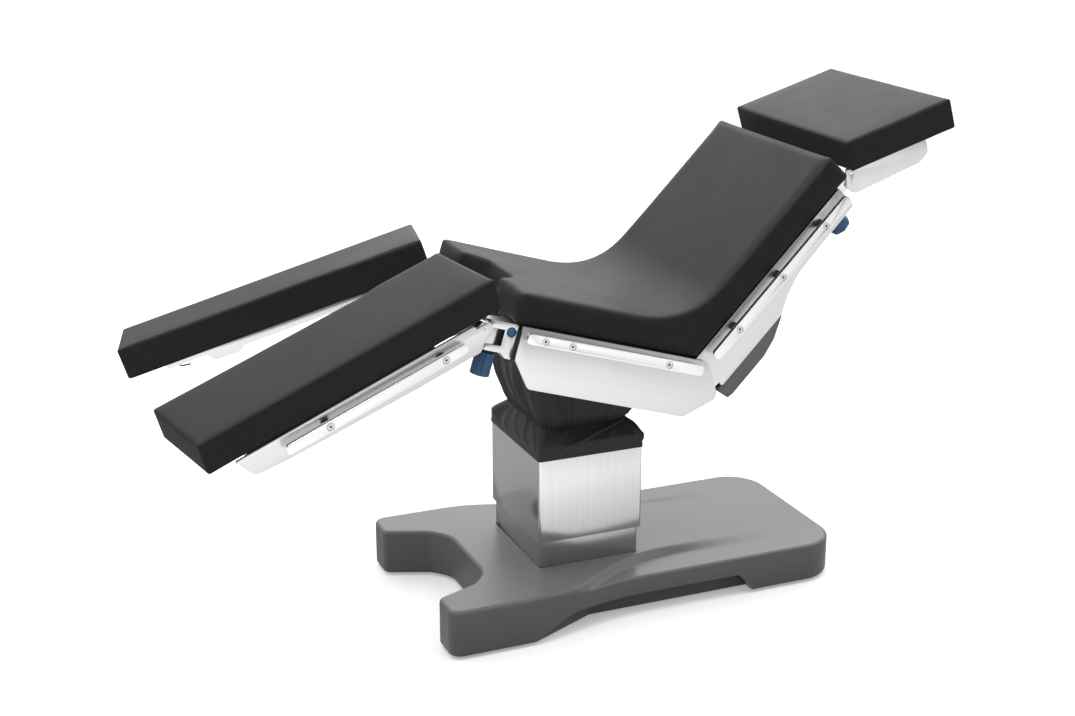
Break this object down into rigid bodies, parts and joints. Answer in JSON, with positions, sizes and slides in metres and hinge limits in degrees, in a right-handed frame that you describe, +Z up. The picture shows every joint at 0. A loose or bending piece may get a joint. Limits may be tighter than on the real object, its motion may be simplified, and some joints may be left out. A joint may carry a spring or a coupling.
{
  "type": "operating table",
  "caption": "Operating table with a lifting column on a forked base and a tilting top of jointed seat, back, head and divided leg sections with side rails.",
  "frame": {"origin": "on the floor, under the middle of the overall length and width as the table stands in the picture", "axes": "+Z up; +X along the table towards the head end; +Y towards the right side of a person lying on it"},
  "size_m": [1.9151, 0.8432, 1.2032],
  "materials": {
    "base_grey": "satin",
    "frame_steel": "satin",
    "stainless": "satin",
    "rail_steel": "gloss",
    "cast_aluminium": "satin",
    "pad_black": "satin",
    "gaiter_black": "matte",
    "cover_grey": "matte",
    "grip_blue": "satin",
    "deck_board": "matte",
    "rubber": "matte"
  },
  "bodies": {
    "base": {"base_cover": "base_grey", "base_chassis": "frame_steel", "column_inner_sleeve": "stainless", "column_guide": "frame_steel", "jack_pad_foot_end_left": "rubber", "jack_pad_foot_end_right": "rubber", "jack_pad_head_end_left": "rubber", "jack_pad_head_end_right": "rubber"},
    "stage": {"column_middle_sleeve": "stainless", "column_stage_tube": "frame_steel"},
    "lift": {"column_outer_sleeve": "stainless", "column_ram": "frame_steel", "column_yoke": "cast_aluminium", "gaiter_skirt": "gaiter_black", "gaiter_boot": "gaiter_black"},
    "cradle": {"tilt_cradle": "cast_aluminium"},
    "seat": {"seat_pad": "pad_black", "seat_deck": "deck_board", "seat_frame": "frame_steel", "seat_side_plate_left": "stainless", "seat_side_plate_right": "stainless", "seat_rail_left": "rail_steel", "seat_rail_right": "rail_steel", "leg_coupler_left": "stainless", "leg_coupler_right": "stainless"},
    "back": {"back_pad": "pad_black", "back_deck": "deck_board", "back_frame": "frame_steel", "back_gear_motor": "frame_steel", "back_drive_cover": "cover_grey", "back_side_plate_left": "stainless", "back_side_plate_right": "stainless", "back_rail_left": "rail_steel", "back_rail_right": "rail_steel", "head_bar_left": "rail_steel", "head_bar_right": "rail_steel"},
    "head": {"head_frame": "cast_aluminium", "head_pad": "pad_black"},
    "knuckle_left": {"leg_knuckle_left": "cast_aluminium"},
    "leg_left": {"leg_frame_left": "stainless", "leg_rail_left": "rail_steel", "leg_pad_left": "pad_black"},
    "button_left": {"release_button_left": "grip_blue"},
    "spread_clamp_left": {"spread_knob_left": "grip_blue"},
    "head_clamp_left": {"head_knob_left": "grip_blue"},
    "knuckle_right": {"leg_knuckle_right": "cast_aluminium"},
    "leg_right": {"leg_frame_right": "stainless", "leg_rail_right": "rail_steel", "leg_pad_right": "pad_black"},
    "button_right": {"release_button_right": "grip_blue"},
    "spread_clamp_right": {"spread_knob_right": "grip_blue"},
    "head_clamp_right": {"head_knob_right": "grip_blue"},
    "castor_foot_end_left": {"castor_fork_foot_end_left": "frame_steel"},
    "castor_axle_foot_end_left": {"castor_wheel_foot_end_left": "rubber"},
    "castor_foot_end_right": {"castor_fork_foot_end_right": "frame_steel"},
    "castor_axle_foot_end_right": {"castor_wheel_foot_end_right": "rubber"},
    "castor_head_end_left": {"castor_fork_head_end_left": "frame_steel"},
    "castor_axle_head_end_left": {"castor_wheel_head_end_left": "rubber"},
    "castor_head_end_right": {"castor_fork_head_end_right": "frame_steel"},
    "castor_axle_head_end_right": {"castor_wheel_head_end_right": "rubber"}
  },
  "joints": [
    {"name": "column_lift", "type": "slide", "parent": "base", "child": "lift", "axis": [0, 0, 1], "range_m": [-0.06, 0.29]},
    {"name": "column_stage", "type": "slide", "parent": "base", "child": "stage", "axis": [0, 0, 1], "range_m": [-0.03, 0.145]},
    {"name": "longitudinal_tilt", "type": "hinge", "parent": "lift", "child": "cradle", "pos_m": [0.0655, 0, 0.5], "axis": [0, -1, 0], "range_deg": [-13.1, 41.9], "deforming": ["gaiter_boot"]},
    {"name": "lateral_tilt", "type": "hinge", "parent": "cradle", "child": "seat", "pos_m": [0.0655, 0, 0.5], "axis": [0.9568, 0, -0.2907], "range_deg": [-20, 20], "deforming": ["gaiter_skirt"]},
    {"name": "back_section", "type": "hinge", "parent": "seat", "child": "back", "pos_m": [0.29377, 0, 0.58742], "axis": [0, 1, 0], "range_deg": [-7.4, 77.6]},
    {"name": "head_section", "type": "hinge", "parent": "back", "child": "head", "pos_m": [0.69198, 0, 1.04416], "axis": [0, 1, 0], "range_deg": [-29, 31]},
    {"name": "leg_spread_left", "type": "hinge", "parent": "seat", "child": "knuckle_left", "pos_m": [-0.27178, -0.243, 0.60247], "axis": [0.2907, 0, 0.9568], "range_deg": [-13.7, 76.3]},
    {"name": "leg_fold_left", "type": "hinge", "parent": "knuckle_left", "child": "leg_left", "pos_m": [-0.25228, -0.25129, 0.78363], "axis": [-0.2266, 0.9715, 0.0688], "range_deg": [-55.5, 39.5]},
    {"name": "release_button_left", "type": "slide", "parent": "seat", "child": "button_left", "axis": [0, 1, 0], "range_m": [0, 0.003], "stiffness_N_per_m": 400, "springref_m": -0.002},
    {"name": "spread_clamp_left", "type": "hinge", "parent": "seat", "child": "spread_clamp_left", "pos_m": [-0.27178, -0.243, 0.60247], "axis": [0.2907, 0, 0.9568], "range_deg": [0, 540]},
    {"name": "head_clamp_left", "type": "hinge", "parent": "back", "child": "head_clamp_left", "pos_m": [0.64368, -0.228, 0.94598], "axis": [-0.7157, 0, 0.6984], "range_deg": [0, 540]},
    {"name": "leg_spread_right", "type": "hinge", "parent": "seat", "child": "knuckle_right", "pos_m": [-0.27178, 0.243, 0.60247], "axis": [-0.2907, 0, -0.9568], "range_deg": [-13.7, 76.3]},
    {"name": "leg_fold_right", "type": "hinge", "parent": "knuckle_right", "child": "leg_right", "pos_m": [-0.25228, 0.25129, 0.78363], "axis": [0.2266, 0.9715, -0.0688], "range_deg": [-55.5, 39.5]},
    {"name": "release_button_right", "type": "slide", "parent": "seat", "child": "button_right", "axis": [0, -1, 0], "range_m": [0, 0.003], "stiffness_N_per_m": 400, "springref_m": -0.002},
    {"name": "spread_clamp_right", "type": "hinge", "parent": "seat", "child": "spread_clamp_right", "pos_m": [-0.27178, 0.243, 0.60247], "axis": [0.2907, 0, 0.9568], "range_deg": [0, 540]},
    {"name": "head_clamp_right", "type": "hinge", "parent": "back", "child": "head_clamp_right", "pos_m": [0.64368, 0.228, 0.94598], "axis": [-0.7157, 0, 0.6984], "range_deg": [0, 540]},
    {"name": "castor_swivel_foot_end_left", "type": "hinge", "parent": "base", "child": "castor_foot_end_left", "pos_m": [-0.1095, -0.125, 0], "axis": [0, 0, 1], "continuous": true},
    {"name": "castor_roll_foot_end_left", "type": "hinge", "parent": "castor_foot_end_left", "child": "castor_axle_foot_end_left", "pos_m": [-0.1255, -0.125, 0.035], "axis": [0, 1, 0], "continuous": true},
    {"name": "castor_swivel_foot_end_right", "type": "hinge", "parent": "base", "child": "castor_foot_end_right", "pos_m": [-0.1095, 0.125, 0], "axis": [0, 0, 1], "continuous": true},
    {"name": "castor_roll_foot_end_right", "type": "hinge", "parent": "castor_foot_end_right", "child": "castor_axle_foot_end_right", "pos_m": [-0.1255, 0.125, 0.035], "axis": [0, 1, 0], "continuous": true},
    {"name": "castor_swivel_head_end_left", "type": "hinge", "parent": "base", "child": "castor_head_end_left", "pos_m": [0.5555, -0.11, 0], "axis": [0, 0, 1], "continuous": true},
    {"name": "castor_roll_head_end_left", "type": "hinge", "parent": "castor_head_end_left", "child": "castor_axle_head_end_left", "pos_m": [0.5395, -0.11, 0.035], "axis": [0, 1, 0], "continuous": true},
    {"name": "castor_swivel_head_end_right", "type": "hinge", "parent": "base", "child": "castor_head_end_right", "pos_m": [0.5555, 0.11, 0], "axis": [0, 0, 1], "continuous": true},
    {"name": "castor_roll_head_end_right", "type": "hinge", "parent": "castor_head_end_right", "child": "castor_axle_head_end_right", "pos_m": [0.5395, 0.11, 0.035], "axis": [0, 1, 0], "continuous": true}
  ],
  "couplings": [
    {"joint": "column_stage", "follows": "column_lift", "ratio": 0.5}
  ]
}
